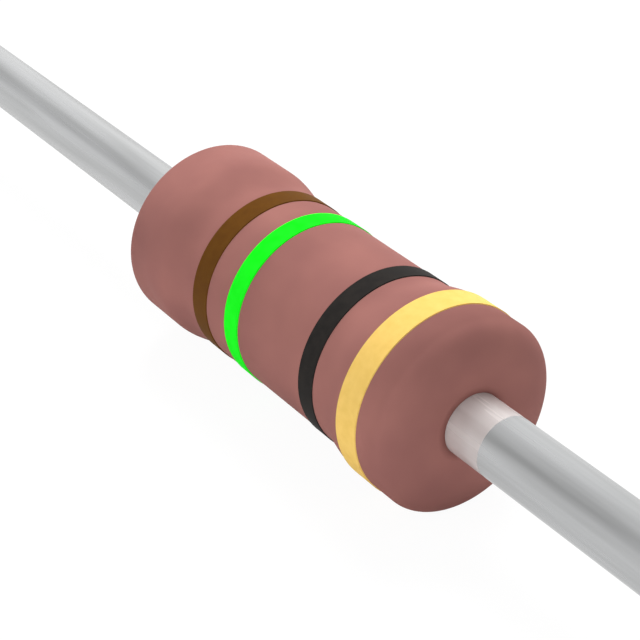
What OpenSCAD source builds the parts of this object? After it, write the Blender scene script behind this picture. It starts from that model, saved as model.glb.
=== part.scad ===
// Axial film resistor: a ceramic rod with a grooved metal film, pressed end caps, welded wires, a lacquer
// coat that swells over the caps, and four printed colour bands. The axis is X and the middle of the body
// is the origin. The gold band is towards +X and the brown band towards -X.

/* [Ceramic rod and film] */
// Diameter of the ceramic rod
rod_d = 1.9; // [1.6:0.05:2.4]
// Length of the ceramic rod
rod_len = 5.24; // [4.6:0.02:8]
// Chamfer at each end of the rod
rod_chamfer = 0.12; // [0.08:0.01:0.2]
// Thickness of the metal film, drawn thicker than the real one
film_t = 0.04; // [0.02:0.005:0.06]
// Turns of the helical groove that sets the resistance
groove_turns = 4; // [2:1:6]
// Width of the groove
groove_w = 0.16; // [0.08:0.01:0.25]
// Film left uncut between the groove and the mouth of each cap
groove_land = 0.3; // [0.2:0.05:0.5]

/* [End caps] */
// Thickness of the drawn steel
cap_wall = 0.13; // [0.1:0.01:0.18]
// Length of rod that each cap grips
cap_grip = 0.8; // [0.6:0.05:1.1]
// Room between the rod's chamfer and the rounded corner inside the cap
cap_corner_room = 0.04; // [0.02:0.01:0.06]
// Chamfer inside the mouth of each cap
cap_lead_in = 0.04; // [0.02:0.01:0.06]

/* [Leads] */
// Diameter of the tinned copper wire
lead_d = 0.8; // [0.5:0.05:1]
// Length of wire that stands out of the lacquer at each end
lead_len = 28; // [10:1:38]
// How far the upset foot stands out round the wire, where it is welded to the cap
foot_flare = 0.2; // [0.16:0.01:0.25]
// Height of the upset foot
foot_h = 0.12; // [0.08:0.01:0.2]
// Thickness of the foot at its outer edge
foot_edge = 0.03; // [0.02:0.01:0.05]
// Chamfer at the cut end of each wire
lead_chamfer = 0.06; // [0.03:0.01:0.12]

/* [Lacquer] */
// Lacquer over the side of each cap
cap_coat = 0.13; // [0.08:0.01:0.25]
// Lacquer over the film at the waist
waist_coat = 0.16; // [0.08:0.01:0.18]
// Lacquer beyond the foot of each wire
foot_coat = 0.03; // [0.02:0.01:0.15]
// Length of the slope between the waist and each bulge
swell_len = 0.6; // [0.3:0.05:0.8]
// Stretch of that slope which lies over the cap
swell_lap = 0.2; // [0.1:0.05:0.3]
// Depth of the rounded rim, along the axis
rim_depth = 0.2; // [0.1:0.02:0.4]
// Flat ring of lacquer round the wire, inside the rounded rim
face_flat = 0.1; // [0.05:0.05:0.3]

/* [Colour bands] */
// Thickness of the printed ink
ink_t = 0.012; // [0.01:0.002:0.02]
// Width of the brown band, the first figure
brown_w = 0.32; // [0.2:0.01:0.4]
// Width of the green band, the second figure
green_w = 0.3; // [0.2:0.01:0.4]
// Width of the black band, the multiplier
black_w = 0.29; // [0.2:0.01:0.4]
// Width of the gold band, the tolerance
gold_w = 0.38; // [0.2:0.01:0.5]
// Waist left bare between the brown bulge's slope and the brown band
brown_gap = 0.12; // [0:0.01:0.2]
// Waist left bare between the brown band and the green band
green_gap = 0.42; // [0.2:0.01:0.6]
// Waist left bare between the black band and the gold bulge's slope
black_gap = 0.06; // [0:0.01:0.2]
// How far the gold band reaches onto the slope of its bulge
gold_lap = 0.04; // [0:0.01:0.1]

/* [Hidden] */
$fn = 96;

// Radii of what nests round the axis, from the inside out
rod_r = rod_d / 2;
film_r = rod_r + film_t;
waist_r = film_r + waist_coat;
cap_r = film_r + cap_wall;
body_r = cap_r + cap_coat;
lead_r = lead_d / 2;
foot_r = lead_r + foot_flare;

// Places along the axis, each measured from the middle of the body
rod_end = rod_len / 2;
film_end = rod_end - rod_chamfer;
cap_mouth = rod_end - cap_grip;
cap_face = rod_end + cap_wall;
foot_end = cap_face + foot_h;
body_end = foot_end + foot_coat;
lead_tip = body_end + lead_len;
groove_end = cap_mouth - groove_land;
swell_end = cap_mouth + swell_lap;
swell_start = swell_end - swell_len;
rim_start = body_end - rim_depth;

// The rounded corner inside a cap, and the width of the rounded rim across the face
cap_corner = rod_chamfer - cap_corner_room;
rim_width = body_r - lead_r - face_flat;

// Middles of the bands
brown_at = -swell_start + brown_gap + brown_w / 2;
green_at = brown_at + (brown_w + green_w) / 2 + green_gap;
black_at = swell_start - black_gap - black_w / 2;
gold_at = swell_end - gold_lap + gold_w / 2;

// Fineness of the curves, how far the groove's cutter passes both faces of the film, and how far the
// lacquer in the groove reaches up into the rest of the lacquer
arc_steps = 16;
swell_steps = 16;
band_steps = 8;
groove_steps = 36;
cutter_margin = 0.08;
fill_root = 0.05;

function clamp(v, low, high) = min(max(v, low), high);
function smooth(t) = t * t * (3 - 2 * t);
function reversed(points) = [for (i = [len(points) - 1:-1:0]) points[i]];
function flipped(points) = [for (p = points) [p[0], -p[1]]];

// How far the rounded rim has drawn in at a place along the axis
function rim_drop(x) =
    let (t = clamp((abs(x) - rim_start) / rim_depth, 0, 1)) rim_width * (1 - sqrt(1 - t * t));

// Radius of the lacquer at a place along the axis
function coat_r(x) =
    waist_r + (body_r - waist_r) * smooth(clamp((abs(x) - swell_start) / swell_len, 0, 1)) - rim_drop(x);

// Quarter of an ellipse from a flank to a face, in even turns of its surface
function corner(centre_r, centre_x, reach_r, reach_x) =
    [for (i = [0:arc_steps])
        let (turn = 90 * i / arc_steps, a = atan2(reach_x * sin(turn), reach_r * cos(turn)))
            [centre_r + reach_r * cos(a), centre_x + reach_x * sin(a)]];

// Outlines at the +X end, as points of [radius, place along the axis], each from the middle outwards
cap_inside = concat(
    [[film_r + cap_lead_in, cap_mouth], [film_r, cap_mouth + cap_lead_in]],
    corner(film_r - cap_corner, rod_end - cap_corner, cap_corner, cap_corner));

cap_outside = concat(
    [[cap_r, cap_mouth]],
    corner(film_r - cap_corner, rod_end - cap_corner, cap_corner + cap_wall, cap_corner + cap_wall));

lead_foot = concat(
    [[foot_r, cap_face]],
    [for (i = [0:arc_steps]) let (turn = 90 * i / arc_steps)
        [foot_r - foot_flare * sin(turn), foot_end - (foot_h - foot_edge) * cos(turn)]]);

coat_outside = concat(
    [for (i = [0:swell_steps]) let (x = swell_start + swell_len * i / swell_steps) [coat_r(x), x]],
    corner(body_r - rim_width, rim_start, rim_width, rim_depth),
    [[lead_r, body_end]]);

coat_inside = concat(
    [[film_r, cap_mouth + cap_lead_in], [film_r + cap_lead_in, cap_mouth]],
    cap_outside,
    lead_foot);

// Turns an outline about the X axis
module turned(points) {
    rotate([0, 90, 0])
        rotate_extrude()
            polygon(points);
}

// Puts what is made for the +X end at the end that side names
module at_end(side) {
    mirror([side > 0 ? 0 : 1, 0, 0])
        children();
}

module ceramic_rod() {
    end = [[rod_r, film_end], [rod_r - rod_chamfer, rod_end], [0, rod_end]];
    color("ivory")
        turned(concat(flipped(reversed(end)), end));
}

// Helical ribbon, a little deeper and higher than the film, that cuts the groove
module groove_cutter() {
    rings = groove_turns * groove_steps;
    low = rod_r - cutter_margin;
    high = film_r + cutter_margin;
    section = [[low, -groove_w / 2], [high, -groove_w / 2], [high, groove_w / 2], [low, groove_w / 2]];
    corners = len(section);
    points = [for (i = [0:rings], s = section)
        let (a = 360 * i / groove_steps, x = groove_end * (2 * i / rings - 1))
            [x + s[1], s[0] * cos(a), s[0] * sin(a)]];
    sides = [for (i = [0:rings - 1], k = [0:corners - 1])
        let (a = corners * i + k, b = corners * i + (k + 1) % corners)
            each [[a, b, a + corners], [b, b + corners, a + corners]]];
    first = [for (k = [corners - 1:-1:0]) k];
    last = [for (k = [0:corners - 1]) corners * rings + k];
    polyhedron(points, concat([first], sides, [last]));
}

// Tube on the film's length, between two radii
module film_tube(low, high) {
    turned([[low, -film_end], [high, -film_end], [high, film_end], [low, film_end]]);
}

// Tube of film with its helical groove; the ends under the caps are left whole
module resistive_film() {
    color("dimgray")
        difference() {
            film_tube(rod_r, film_r);
            groove_cutter();
        }
}

// Cup drawn from sheet and pressed over the end of the rod
module end_cap(side) {
    color("silver")
        at_end(side)
            turned(concat(cap_outside, [[0, cap_face], [0, rod_end]], reversed(cap_inside)));
}

// Straight wire with an upset foot, welded to the face of its cap
module lead(side) {
    color("lightgray")
        at_end(side)
            turned(concat([[0, cap_face]], lead_foot,
                          [[lead_r, lead_tip - lead_chamfer], [lead_r - lead_chamfer, lead_tip],
                           [0, lead_tip]]));
}

// Lacquer round the film, both caps and the feet of both wires, which also fills the film's groove
module lacquer_coat() {
    color("rosybrown") {
        turned(concat(flipped(reversed(coat_outside)), coat_outside,
                      reversed(coat_inside), flipped(coat_inside)));
        intersection() {
            film_tube(rod_r, film_r + fill_root);
            groove_cutter();
        }
    }
}

// Ring of ink that follows the lacquer
module band(middle, width, tint) {
    places = [for (i = [0:band_steps]) middle + width * (i / band_steps - 1 / 2)];
    under = [for (x = places) [coat_r(x), x]];
    over = [for (p = under) [p[0] + ink_t, p[1]]];
    color(tint)
        turned(concat(over, reversed(under)));
}

ceramic_rod();
resistive_film();
end_cap(-1);  // brown_end_cap
end_cap(1);  // gold_end_cap
lead(-1);  // brown_end_lead
lead(1);  // gold_end_lead
lacquer_coat();
band(brown_at, brown_w, "saddlebrown");  // brown_band
band(green_at, green_w, "lime");  // green_band
band(black_at, black_w, "dimgray");  // black_band
band(gold_at, gold_w, "khaki");  // gold_band
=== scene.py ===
# Axial film resistor, lying on a pale floor.
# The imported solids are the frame, and this script gives them their looks.
import math

import bpy
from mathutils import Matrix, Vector


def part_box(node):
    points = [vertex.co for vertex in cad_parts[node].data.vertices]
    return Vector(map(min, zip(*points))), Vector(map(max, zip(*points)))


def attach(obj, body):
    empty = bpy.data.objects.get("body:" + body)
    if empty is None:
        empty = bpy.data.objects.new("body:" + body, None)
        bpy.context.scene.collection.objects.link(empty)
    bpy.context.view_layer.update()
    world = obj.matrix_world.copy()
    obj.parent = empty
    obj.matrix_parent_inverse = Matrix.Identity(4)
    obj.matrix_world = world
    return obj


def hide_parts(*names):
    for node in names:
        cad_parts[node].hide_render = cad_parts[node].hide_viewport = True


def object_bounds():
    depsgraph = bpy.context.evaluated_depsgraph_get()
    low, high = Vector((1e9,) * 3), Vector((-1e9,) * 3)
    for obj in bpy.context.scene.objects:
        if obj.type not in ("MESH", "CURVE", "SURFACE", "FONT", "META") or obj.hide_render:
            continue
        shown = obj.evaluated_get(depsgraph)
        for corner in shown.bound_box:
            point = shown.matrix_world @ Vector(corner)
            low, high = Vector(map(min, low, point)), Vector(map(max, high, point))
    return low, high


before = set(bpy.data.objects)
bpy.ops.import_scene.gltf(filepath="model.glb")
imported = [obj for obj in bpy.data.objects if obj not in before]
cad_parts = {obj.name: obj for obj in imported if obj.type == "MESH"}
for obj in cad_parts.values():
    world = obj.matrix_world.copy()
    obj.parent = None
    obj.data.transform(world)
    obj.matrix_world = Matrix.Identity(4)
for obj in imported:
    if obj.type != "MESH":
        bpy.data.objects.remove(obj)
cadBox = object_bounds()

scene = bpy.context.scene
scene.view_settings.view_transform = "Standard"
mm = 0.001
print("frame loaded:", len(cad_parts), "nodes")


# Camera

cameraSetup = {
    "azimuth": 55.27,  # degrees; 0 looks along +Y
    "elevation": 30.98,
    "distance": 22.83 * mm,  # from the middle of the body
    "lens": 102.97,
    "sensor": 36,
    "bodyAt": (326.6, 316.3),  # where the middle of the body lies in the picture, in pixels
    "picture": 640,
}


def addCamera(setup):
    turn, rise = math.radians(setup["azimuth"]), math.radians(setup["elevation"])
    back = Vector((math.sin(turn) * math.cos(rise), -math.cos(turn) * math.cos(rise), math.sin(rise)))
    right = Vector((math.cos(turn), math.sin(turn), 0))
    up = back.cross(right)
    data = bpy.data.cameras.new("camera")
    data.sensor_width, data.lens = setup["sensor"], setup["lens"]
    data.clip_start, data.clip_end = 0.5 * mm, 10  # metres
    perPixel = setup["distance"] * setup["sensor"] / setup["lens"] / setup["picture"]
    across = (setup["bodyAt"][0] - setup["picture"] / 2) * perPixel
    down = (setup["bodyAt"][1] - setup["picture"] / 2) * perPixel
    camera = bpy.data.objects.new("camera", data)
    camera.location = back * setup["distance"] - right * across + up * down
    camera.rotation_mode = "QUATERNION"
    camera.rotation_quaternion = (-back).to_track_quat("-Z", "Y")
    scene.collection.objects.link(camera)
    scene.camera = camera


addCamera(cameraSetup)
print("camera placed")


# Materials

def linear(code):
    # sRGB hex to the linear colour that a shader takes
    parts = [int(code[i:i + 2], 16) / 255 for i in (1, 3, 5)]
    return [p / 12.92 if p <= 0.04045 else ((p + 0.055) / 1.055) ** 2.4 for p in parts] + [1]


def addNode(tree, kind, settings={}, sockets={}):
    # a node, its own settings, and its sockets: a value is set, an output is linked
    node = tree.nodes.new(kind)
    for name, value in settings.items():
        setattr(node, name, value)
    for name, value in sockets.items():
        if isinstance(value, bpy.types.NodeSocket):
            tree.links.new(value, node.inputs[name])
        else:
            node.inputs[name].default_value = value
    return node


def startMaterial(name, finish):
    # the shader with its even values; what varies over the surface is linked to it afterwards
    material = bpy.data.materials.new(name)
    material.use_nodes = True
    tree = material.node_tree
    tree.nodes.clear()
    shader = addNode(tree, "ShaderNodeBsdfPrincipled", sockets=finish)
    addNode(tree, "ShaderNodeOutputMaterial", sockets={"Surface": shader.outputs["BSDF"]})
    place = addNode(tree, "ShaderNodeTexCoord").outputs["Object"]
    return material, tree, shader, place


def linkColour(tree, shader, noise, first, second):
    # blends two colours into the shader's base colour, by a noise that seldom leaves 0.3 to 0.7
    amount = addNode(tree, "ShaderNodeMapRange", sockets={"Value": noise, "From Min": 0.3, "From Max": 0.7})
    mix = addNode(tree, "ShaderNodeMix", {"data_type": "RGBA"}, {
        "Factor": amount.outputs["Result"], "A": linear(first), "B": linear(second)})
    tree.links.new(mix.outputs["Result"], shader.inputs["Base Color"])
    return mix


def linkRoughness(tree, shader, noise, low, high):
    # spreads the same kind of noise over the shader's roughness
    spread = addNode(tree, "ShaderNodeMapRange", sockets={
        "Value": noise, "From Min": 0.3, "From Max": 0.7, "To Min": low, "To Max": high})
    tree.links.new(spread.outputs["Result"], shader.inputs["Roughness"])


lacquerLook = {
    "colour": "#956560",
    "thinColour": "#A47069",
    "roughness": (0.56, 0.64),
    "ior": 1.5,
    "specular": 0.01,  # so low that the white floor lays no pale veil over the flanks
    "tint": "#E8A094",
    "clouding": 0.9 * mm,  # size of the soft patches that the dip leaves
    "ripple": 0.22 * mm,  # size of the dimples in the cured film
    "rippleDepth": 0.004 * mm,
}


def dippedLacquer(look):
    # Flameproof silicone lacquer, dipped and cured: a pinkish brown with next to no gloss, soft patches and
    # faint dimples
    material, tree, shader, place = startMaterial("dipped_silicone_lacquer", {
        "IOR": look["ior"], "Specular IOR Level": look["specular"], "Specular Tint": linear(look["tint"])})
    clouds = addNode(tree, "ShaderNodeTexNoise", sockets={
        "Vector": place, "Scale": 1 / look["clouding"], "Detail": 2, "Roughness": 0.45})
    linkColour(tree, shader, clouds.outputs["Fac"], look["colour"], look["thinColour"])
    dimples = addNode(tree, "ShaderNodeTexNoise", sockets={
        "Vector": place, "Scale": 1 / look["ripple"], "Detail": 1.5, "Roughness": 0.4})
    linkRoughness(tree, shader, dimples.outputs["Fac"], *look["roughness"])
    bump = addNode(tree, "ShaderNodeBump", sockets={
        "Height": dimples.outputs["Fac"], "Strength": 1, "Distance": look["rippleDepth"]})
    tree.links.new(bump.outputs["Normal"], shader.inputs["Normal"])
    return material


inkLooks = {
    "brown": {"thick": "#603D18", "thin": "#66421A"},
    "green": {"thick": "#14FC1C", "thin": "#20FF28"},
    "black": {"thick": "#282625", "thin": "#2F2C2A"},
    "gold": {"thick": "#EEC669", "thin": "#F5CE74"},
    "all": {"roughness": (0.54, 0.64), "ior": 1.48, "specular": 0.02, "mottle": 0.12 * mm},
}


def printedInk(name):
    # Epoxy marking ink, rolled on by a wheel: a dense colour with next to no gloss, a little uneven
    # where the wheel left less
    look, common = inkLooks[name], inkLooks["all"]
    material, tree, shader, place = startMaterial(name + "_marking_ink", {
        "IOR": common["ior"], "Specular IOR Level": common["specular"]})
    mottle = addNode(tree, "ShaderNodeTexNoise", sockets={
        "Vector": place, "Scale": 1 / common["mottle"], "Detail": 2})
    linkColour(tree, shader, mottle.outputs["Fac"], look["thick"], look["thin"])
    linkRoughness(tree, shader, mottle.outputs["Fac"], *common["roughness"])
    return material


wireLook = {
    "bright": "#BEBFC0",
    "dull": "#A4A5A5",
    "roughness": (0.2, 0.3),
    "streakWidth": 0.18 * mm,
    "streakLength": 4 * mm,
    # the two colours of the painted reflection of the pink body on the wire next to it
    "paintedReflectionDim": "#BBB1AF",
    "paintedReflectionPale": "#D0C9C7",
    "paintedReflectionMetal": 0.1,  # how much of the metal still shows through the painted reflection
    "paintedReflectionEnd": 3.47 * mm,  # how far from the middle of the body the painted reflection of the pink body reaches along the wire
}


def tinnedWire(look):
    # Drawn copper wire, hot-dipped in tin: bright grey metal with soft streaks along the way it was drawn.
    # Next to the body a painted reflection of the pink lacquer end, a band that is duller, paler and pinker
    # than the metal, stands in for the body mirrored in the wire.
    material, tree, shader, place = startMaterial("tinned_drawn_copper_wire", {})
    stretch = addNode(tree, "ShaderNodeVectorMath", {"operation": "MULTIPLY"}, {
        0: place, 1: (1 / look["streakLength"], 1 / look["streakWidth"], 1 / look["streakWidth"])})
    streaks = addNode(tree, "ShaderNodeTexNoise", sockets={
        "Vector": stretch.outputs["Vector"], "Scale": 1, "Detail": 2, "Roughness": 0.5})
    metal = linkColour(tree, shader, streaks.outputs["Fac"], look["dull"], look["bright"])
    # painted reflection: the two colours of the pink band next to the body, mottled by the same streaks
    film = linkColour(tree, shader, streaks.outputs["Fac"], look["paintedReflectionDim"], look["paintedReflectionPale"])
    linkRoughness(tree, shader, streaks.outputs["Fac"], *look["roughness"])
    axis = addNode(tree, "ShaderNodeSeparateXYZ", sockets={"Vector": place})
    distance = addNode(tree, "ShaderNodeMath", {"operation": "ABSOLUTE"}, {0: axis.outputs["X"]})
    # painted reflection: a fixed band next to the body, coloured as the body mirrored in the wire
    paintedReflectionMask = addNode(tree, "ShaderNodeMath", {"operation": "LESS_THAN"}, {
        0: distance.outputs["Value"], 1: look["paintedReflectionEnd"]})
    paintedReflectionMix = addNode(tree, "ShaderNodeMix", {"data_type": "RGBA"}, {
        "Factor": paintedReflectionMask.outputs["Value"], "A": metal.outputs["Result"], "B": film.outputs["Result"]})
    tree.links.new(paintedReflectionMix.outputs["Result"], shader.inputs["Base Color"])
    shown = addNode(tree, "ShaderNodeMapRange", sockets={
        "Value": paintedReflectionMask.outputs["Value"], "To Min": 1, "To Max": look["paintedReflectionMetal"]})
    tree.links.new(shown.outputs["Result"], shader.inputs["Metallic"])
    return material


aluminaLook = {"dull": "#DAD5C6", "bright": "#EFEBE0", "roughness": 0.75, "ior": 1.76, "grain": 0.05 * mm}


def groundAlumina(look):
    # Fired alumina rod, ground to size: matt ivory white with a fine grain
    material, tree, shader, place = startMaterial("ground_alumina", {
        "Roughness": look["roughness"], "IOR": look["ior"]})
    grain = addNode(tree, "ShaderNodeTexNoise", sockets={
        "Vector": place, "Scale": 1 / look["grain"], "Detail": 3})
    linkColour(tree, shader, grain.outputs["Fac"], look["dull"], look["bright"])
    return material


filmLook = {"dull": "#8C8A88", "bright": "#A3A19E", "roughness": (0.45, 0.6), "grain": 0.06 * mm}


def sputteredFilm(look):
    # Nickel chromium film, sputtered: a thin dark grey metal, matt from the ceramic under it
    material, tree, shader, place = startMaterial("sputtered_nickel_chromium", {"Metallic": 1})
    grain = addNode(tree, "ShaderNodeTexNoise", sockets={
        "Vector": place, "Scale": 1 / look["grain"], "Detail": 3})
    linkColour(tree, shader, grain.outputs["Fac"], look["dull"], look["bright"])
    linkRoughness(tree, shader, grain.outputs["Fac"], *look["roughness"])
    return material


capLook = {"dull": "#B9B8B5", "bright": "#CFCECB", "roughness": (0.3, 0.42), "clouding": 0.3 * mm}


def platedCap(look):
    # Drawn steel cap with barrel-plated tin: satin grey metal, a little cloudy from the barrel
    material, tree, shader, place = startMaterial("tin_plated_drawn_steel", {"Metallic": 1})
    clouds = addNode(tree, "ShaderNodeTexNoise", sockets={
        "Vector": place, "Scale": 1 / look["clouding"], "Detail": 3})
    linkColour(tree, shader, clouds.outputs["Fac"], look["dull"], look["bright"])
    linkRoughness(tree, shader, clouds.outputs["Fac"], *look["roughness"])
    return material


# Pieces turned about the X axis

def turned(name, outline, sides, sharpAngle=35):
    # a closed outline of (place along the axis, radius) points; a radius of 0 closes the piece on its axis
    points, rings = [], []
    for x, r in outline:
        if r == 0:
            rings.append([len(points)] * sides)
            points.append((x, 0, 0))
        else:
            rings.append([len(points) + i for i in range(sides)])
            turns = [2 * math.pi * i / sides for i in range(sides)]
            points += [(x, r * math.cos(a), r * math.sin(a)) for a in turns]
    faces = []
    for first, second in zip(rings, rings[1:] + rings[:1]):
        for i in range(sides):
            j = (i + 1) % sides
            corners = list(dict.fromkeys((first[i], first[j], second[j], second[i])))
            if len(corners) > 2:
                faces.append(corners)
    mesh = bpy.data.meshes.new(name)
    mesh.from_pydata(points, [], faces)
    mesh.validate()
    mesh.shade_smooth()
    mesh.set_sharp_from_angle(angle=math.radians(sharpAngle))
    piece = bpy.data.objects.new(name, mesh)
    scene.collection.objects.link(piece)
    return piece


def dress(piece, node, material):
    piece.data.materials.clear()
    piece.data.materials.append(material)
    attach(piece, "root")
    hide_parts(node)


def mirrored(outline):
    return [(-x, r) for x, r in reversed(outline)]


def quarter(centreX, centreR, reachX, reachR, steps):
    # quarter of an ellipse from its flank to its end, in even turns
    turns = [math.pi / 2 * i / steps for i in range(steps + 1)]
    return [(centreX + reachX * math.sin(a), centreR + reachR * math.cos(a)) for a in turns]


wire = {"radius": 0.4 * mm, "chamfer": 0.06 * mm, "footRadius": 0.6 * mm, "footHeight": 0.12 * mm,
        "footEdge": 0.03 * mm, "footSteps": 8, "sides": 128}
cap = {"mouth": 1.82 * mm, "face": 2.75 * mm, "radius": 1.12 * mm, "corner": 0.21 * mm, "leadIn": 0.04 * mm,
       "cornerSteps": 8}
coat = {"waistRadius": 1.15 * mm, "slopeStart": 1.42 * mm, "slopeLength": 0.6 * mm, "rimDepth": 0.2 * mm,
        "faceFlat": 0.1 * mm, "filmRadius": 0.99 * mm, "slopeSteps": 32, "rimSteps": 32, "sides": 256,
        "turnStart": 2.5 * mm,  # where the shading starts to turn towards the face
        "rimTilt": 58, "wireTilt": 8,  # degrees off the axis that it shades at, at the rim and at the wire
        "faceCurve": 2.5}  # how late the face turns up from one to the other
ink = {"thickness": 0.012 * mm, "edge": 0.006 * mm, "steps": 16, "sides": 256}

coat["radius"] = max(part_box("lacquer_coat")[1].yz)
coat["end"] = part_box("lacquer_coat")[1].x
coat["rimStart"] = coat["end"] - coat["rimDepth"]
coat["rimWidth"] = coat["radius"] - wire["radius"] - coat["faceFlat"]


def clamp(value):
    return min(max(value, 0), 1)


def coatRadius(x):
    # radius of the lacquer: the waist, a smooth slope to the bulge, and the rounded rim
    slope = clamp((abs(x) - coat["slopeStart"]) / coat["slopeLength"])
    rim = clamp((abs(x) - coat["rimStart"]) / coat["rimDepth"])
    rise = (coat["radius"] - coat["waistRadius"]) * slope * slope * (3 - 2 * slope)
    return coat["waistRadius"] + rise - coat["rimWidth"] * (1 - math.sqrt(1 - rim * rim))


def softenEnds(piece):
    # lays smooth normals over both ends, so that the flank, the rim and the face shade as one soft dome
    mesh, normals = piece.data, []
    nearly = 0.999  # of a radius, so that rounding leaves no point out
    for vertex, own in zip(mesh.vertices, mesh.vertex_normals):
        x, radius = abs(vertex.co.x), vertex.co.yz.length
        flank = x > coat["turnStart"] and radius > coat["radius"] * nearly
        face = x >= coat["rimStart"]
        outer = radius >= coatRadius(x) * nearly
        if not outer or not (flank or face):
            normals.append(own.vector)
            continue
        if x < coat["rimStart"]:
            part = (x - coat["turnStart"]) / (coat["rimStart"] - coat["turnStart"])
            tilt = 90 + (coat["rimTilt"] - 90) * part * part
        else:
            part = clamp((radius - wire["radius"]) / (coat["radius"] - wire["radius"]))
            tilt = coat["wireTilt"] + (coat["rimTilt"] - coat["wireTilt"]) * part ** coat["faceCurve"]
        tilt = math.radians(tilt)
        outwards = Vector((0, *vertex.co.yz)).normalized() * math.sin(tilt)
        normals.append(outwards + Vector((math.copysign(math.cos(tilt), vertex.co.x), 0, 0)))
    mesh.normals_split_custom_set_from_vertices(normals)


def footOutline():
    # the wire's upset foot, from its outer edge on the cap to the wire
    flare, reach = wire["footRadius"] - wire["radius"], wire["footHeight"] - wire["footEdge"]
    turns = [math.pi / 2 * i / wire["footSteps"] for i in range(wire["footSteps"] + 1)]
    end = cap["face"] + wire["footHeight"]
    return [(cap["face"], wire["footRadius"])] + [
        (end - reach * math.cos(a), wire["footRadius"] - flare * math.sin(a)) for a in turns]


def makeCoat(material):
    steps = coat["slopeSteps"]
    slope = [coat["slopeStart"] + coat["slopeLength"] * i / steps for i in range(steps + 1)]
    outside = [(x, coatRadius(x)) for x in slope]
    outside += quarter(coat["rimStart"], coat["radius"] - coat["rimWidth"],
                       coat["rimDepth"], coat["rimWidth"], coat["rimSteps"])
    outside.append((coat["end"], wire["radius"]))
    over = [(cap["mouth"] + cap["leadIn"], coat["filmRadius"]),
            (cap["mouth"], coat["filmRadius"] + cap["leadIn"]), (cap["mouth"], cap["radius"])]
    over += quarter(cap["face"] - cap["corner"], cap["radius"] - cap["corner"],
                    cap["corner"], cap["corner"], cap["cornerSteps"])
    inside = over + footOutline()
    piece = turned("lacquer_coat_dipped", mirrored(outside) + outside + inside[::-1] + mirrored(inside)[::-1],
                   coat["sides"])
    softenEnds(piece)
    dress(piece, "lacquer_coat", material)


def makeBand(name, material):
    # a ring of ink that follows the lacquer, with its two edges chamfered
    low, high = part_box(name + "_band")
    places = [low.x + (high.x - low.x) * i / ink["steps"] for i in range(ink["steps"] + 1)]
    under = [(x, coatRadius(x)) for x in places]
    inner = [low.x + ink["edge"]] + places[1:-1] + [high.x - ink["edge"]]
    over = [(x, coatRadius(x) + ink["thickness"]) for x in inner]
    piece = turned(name + "_band_printed", over + under[::-1], ink["sides"])
    dress(piece, name + "_band", material)


def makeWire(name, side, material):
    tip = max(abs(v.x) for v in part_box(name))
    outline = [(cap["face"], 0)] + footOutline() + [
        (tip - wire["chamfer"], wire["radius"]), (tip, wire["radius"] - wire["chamfer"]), (tip, 0)]
    if side < 0:
        outline = mirrored(outline)
    dress(turned(name + "_drawn", outline, wire["sides"]), name, material)


makeCoat(dippedLacquer(lacquerLook))
for bandName in ("brown", "green", "black", "gold"):
    makeBand(bandName, printedInk(bandName))
wireMaterial = tinnedWire(wireLook)
makeWire("gold_end_lead", 1, wireMaterial)
makeWire("brown_end_lead", -1, wireMaterial)
hidden = {"ceramic_rod": groundAlumina(aluminaLook), "resistive_film": sputteredFilm(filmLook)}
hidden["brown_end_cap"] = hidden["gold_end_cap"] = platedCap(capLook)
for nodeName, material in hidden.items():
    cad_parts[nodeName].data.materials.clear()
    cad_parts[nodeName].data.materials.append(material)
print("pieces made")


# Floor, world and lamps

floorLook = {
    "colour": "#F0F0F0",
    "seenColour": "#4A4A4A",  # the same board as the camera and the metal see it, under the lift
    "lift": 0.95,
    "size": 1.2,  # metres
}


def makeFloor(look):
    half, low = look["size"] / 2, cadBox[0].z
    mesh = bpy.data.meshes.new("floor")
    mesh.from_pydata([(-half, -half, low), (half, -half, low), (half, half, low), (-half, half, low)],
                     [], [(0, 1, 2, 3)])
    floor = bpy.data.objects.new("floor", mesh)
    scene.collection.objects.link(floor)
    # Matt white board, which sends its light up to the object. What the camera and the metal see of it is a
    # fainter shadow on an even white, so that it meets the white world behind it.
    material, tree, shader = startMaterial("matt_white_board", {
        "Roughness": 0.9, "Specular IOR Level": 0.1, "Emission Color": linear("#FFFFFF")})[:3]
    path = addNode(tree, "ShaderNodeLightPath")
    seen = addNode(tree, "ShaderNodeMath", {"operation": "ADD"}, {
        0: path.outputs["Is Camera Ray"], 1: path.outputs["Is Glossy Ray"]})
    board = addNode(tree, "ShaderNodeMix", {"data_type": "RGBA"}, {
        "Factor": seen.outputs["Value"], "A": linear(look["colour"]), "B": linear(look["seenColour"])})
    tree.links.new(board.outputs["Result"], shader.inputs["Base Color"])
    lift = addNode(tree, "ShaderNodeMath", {"operation": "MULTIPLY"}, {
        0: seen.outputs["Value"], 1: look["lift"]})
    tree.links.new(lift.outputs["Value"], shader.inputs["Emission Strength"])
    mesh.materials.append(material)


worldLook = {
    "ambient": 0.36,
    # how bright it is in reflections, by how far they head along Y when their part along X is left out
    "sweep": ((-0.98, 1.06), (-0.9, 0.98), (-0.8, 0.79), (-0.66, 0.79), (-0.35, 0.93), (0, 1.05), (0.45, 1.2),
              (0.75, 1.32)),
}


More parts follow.
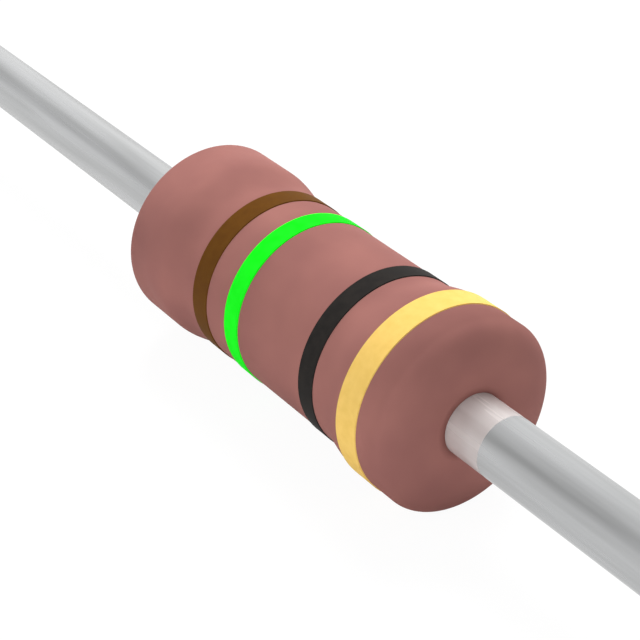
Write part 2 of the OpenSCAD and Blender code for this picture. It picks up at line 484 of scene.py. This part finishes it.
def makeWorld(look):
    # an even grey light on the object, a sweep from bright to dim in its reflections, and white behind it
    world = bpy.data.worlds.new("studio")
    world.use_nodes = True
    tree = world.node_tree
    tree.nodes.clear()
    across = addNode(tree, "ShaderNodeVectorMath", {"operation": "MULTIPLY"}, {
        0: addNode(tree, "ShaderNodeTexCoord").outputs["Generated"], 1: (0, 1, 1)})
    turn = addNode(tree, "ShaderNodeVectorMath", {"operation": "NORMALIZE"}, {0: across.outputs["Vector"]})
    heading = addNode(tree, "ShaderNodeSeparateXYZ", sockets={"Vector": turn.outputs["Vector"]})
    place = addNode(tree, "ShaderNodeMapRange", sockets={"Value": heading.outputs["Y"], "From Min": -1})
    ramp = addNode(tree, "ShaderNodeValToRGB", sockets={"Fac": place.outputs["Result"]})
    brightest = max(level for along, level in look["sweep"])
    stops = ramp.color_ramp.elements
    for along, level in look["sweep"]:
        stop = stops.new((along + 1) / 2)
        stop.color = [level / brightest] * 3 + [1]
    stops.remove(stops[-1])
    stops.remove(stops[0])
    sweep = addNode(tree, "ShaderNodeMath", {"operation": "MULTIPLY"}, {
        0: ramp.outputs["Color"], 1: brightest})
    path = addNode(tree, "ShaderNodeLightPath")
    lit = addNode(tree, "ShaderNodeMapRange", sockets={
        "Value": path.outputs["Is Glossy Ray"], "To Min": look["ambient"], "To Max": sweep.outputs["Value"]})
    level = addNode(tree, "ShaderNodeMapRange", sockets={
        "Value": path.outputs["Is Camera Ray"], "To Min": lit.outputs["Result"], "To Max": 1})
    background = addNode(tree, "ShaderNodeBackground", sockets={
        "Color": linear("#FFFFFF"), "Strength": level.outputs["Result"]})
    addNode(tree, "ShaderNodeOutputWorld", sockets={"Surface": background.outputs["Background"]})
    scene.world = world


# Each lamp is a softbox: the way to it from the body, its width and height, and its brightness, where 1 is
# as bright as white paper in the picture. They are kept out of reflections, which show the world's sweep.
lampDistance = 160 * mm
lamps = {
    "key_softbox": {"towards": (-0.43, 0.43, 0.79), "size": (100 * mm, 100 * mm), "brightness": 10.8},
    "left_softbox": {"towards": (0, -0.88, 0.47), "size": (80 * mm, 80 * mm), "brightness": 2.4},
    "front_softbox": {"towards": (0.69, -0.69, 0.21), "size": (80 * mm, 80 * mm), "brightness": 2.4},
}


def makeLamp(name, look):
    width, height = look["size"]
    data = bpy.data.lights.new(name, "AREA")
    data.shape, data.size, data.size_y = "RECTANGLE", width, height
    data.energy = look["brightness"] * math.pi * width * height
    lamp = bpy.data.objects.new(name, data)
    towards = Vector(look["towards"]).normalized()
    lamp.location = towards * lampDistance
    lamp.rotation_mode = "QUATERNION"
    lamp.rotation_quaternion = (-towards).to_track_quat("-Z", "Y")
    lamp.visible_glossy = False
    scene.collection.objects.link(lamp)


makeFloor(floorLook)
makeWorld(worldLook)
for lampName, look in lamps.items():
    makeLamp(lampName, look)
print("floor, world and lamps made")
